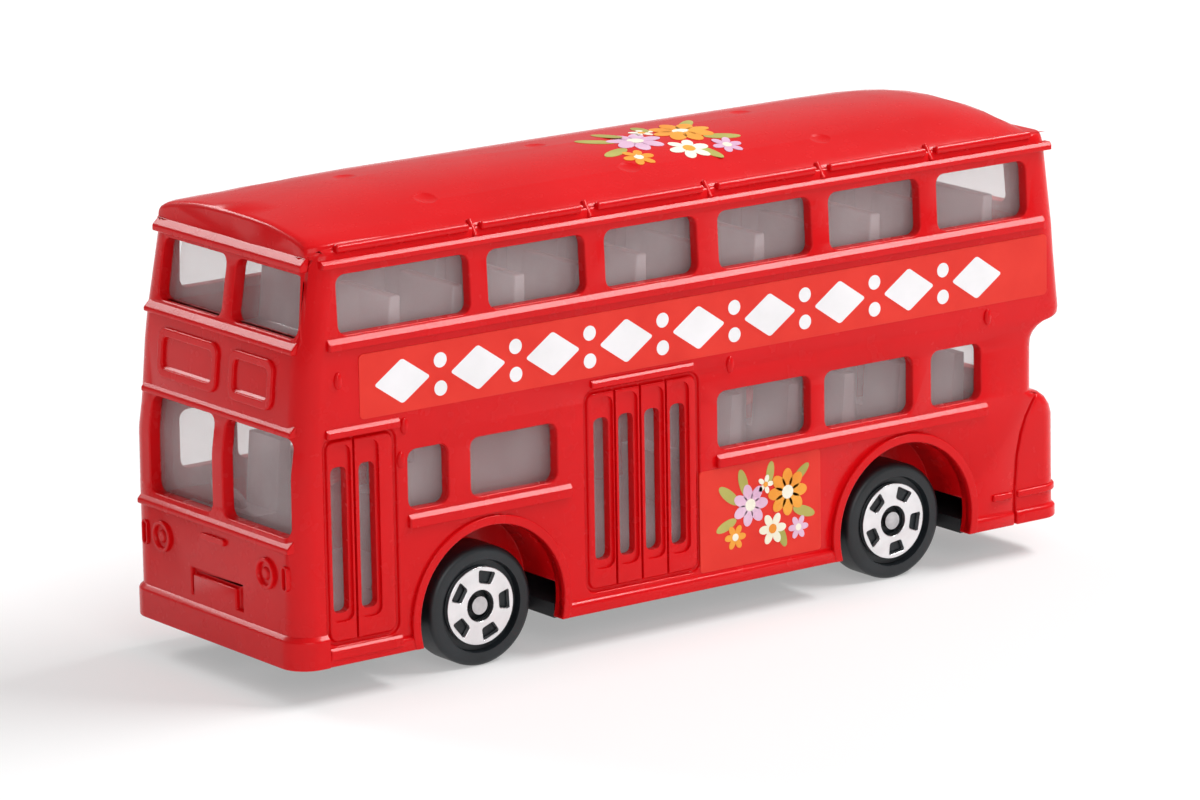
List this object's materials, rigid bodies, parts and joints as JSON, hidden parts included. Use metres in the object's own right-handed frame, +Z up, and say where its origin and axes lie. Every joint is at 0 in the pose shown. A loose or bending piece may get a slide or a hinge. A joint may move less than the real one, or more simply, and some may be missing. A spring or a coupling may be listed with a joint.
{
  "type": "die-cast toy double decker bus",
  "caption": "Small red die-cast toy double decker bus with hollow glazed decks, side doors, a black base and free-running wheels on steel axles.",
  "frame": {"origin": "on the floor, under the middle of the bus's box, which is midway between the bumper and the rear overhang and on the centre line", "axes": "+X is the front of the bus, +Y is its left (the side with the doors), +Z is up"},
  "size_m": [0.0796, 0.0252, 0.0394],
  "materials": {
    "red_paint": "gloss red enamel over zinc",
    "base_black": "satin moulded black",
    "clear_plastic": "clear moulded styrene",
    "interior_cream": "satin moulded cream",
    "axle_steel": "bright drawn wire",
    "spring_steel": "satin strip",
    "wheel_black": "satin moulded black",
    "wheel_silver": "hot-stamped silver foil",
    "decoration_print": "printed decoration, glossy"
  },
  "bodies": {
    "bus": {"body_shell": "red_paint", "base_plate": "base_black", "upper_glazing": "clear_plastic", "lower_glazing": "clear_plastic", "upper_deck_interior": "interior_cream", "lower_deck_interior": "interior_cream", "front_axle": "axle_steel", "rear_axle": "axle_steel", "front_spring": "spring_steel", "rear_spring": "spring_steel", "front_rivet": "axle_steel", "rear_rivet": "axle_steel"},
    "front_left": {"front_left_wheel": "wheel_black"},
    "front_right": {"front_right_wheel": "wheel_black"},
    "rear_left": {"rear_left_wheel": "wheel_black"},
    "rear_right": {"rear_right_wheel": "wheel_black"}
  },
  "joints": [
    {"name": "front_left_spin", "type": "hinge", "parent": "bus", "child": "front_left", "pos_m": [0.0208, 0.009, 0.005], "axis": [0, 1, 0], "continuous": true},
    {"name": "front_right_spin", "type": "hinge", "parent": "bus", "child": "front_right", "pos_m": [0.0208, -0.009, 0.005], "axis": [0, 1, 0], "continuous": true},
    {"name": "rear_left_spin", "type": "hinge", "parent": "bus", "child": "rear_left", "pos_m": [-0.0219, 0.009, 0.005], "axis": [0, 1, 0], "continuous": true},
    {"name": "rear_right_spin", "type": "hinge", "parent": "bus", "child": "rear_right", "pos_m": [-0.0219, -0.009, 0.005], "axis": [0, 1, 0], "continuous": true}
  ]
}
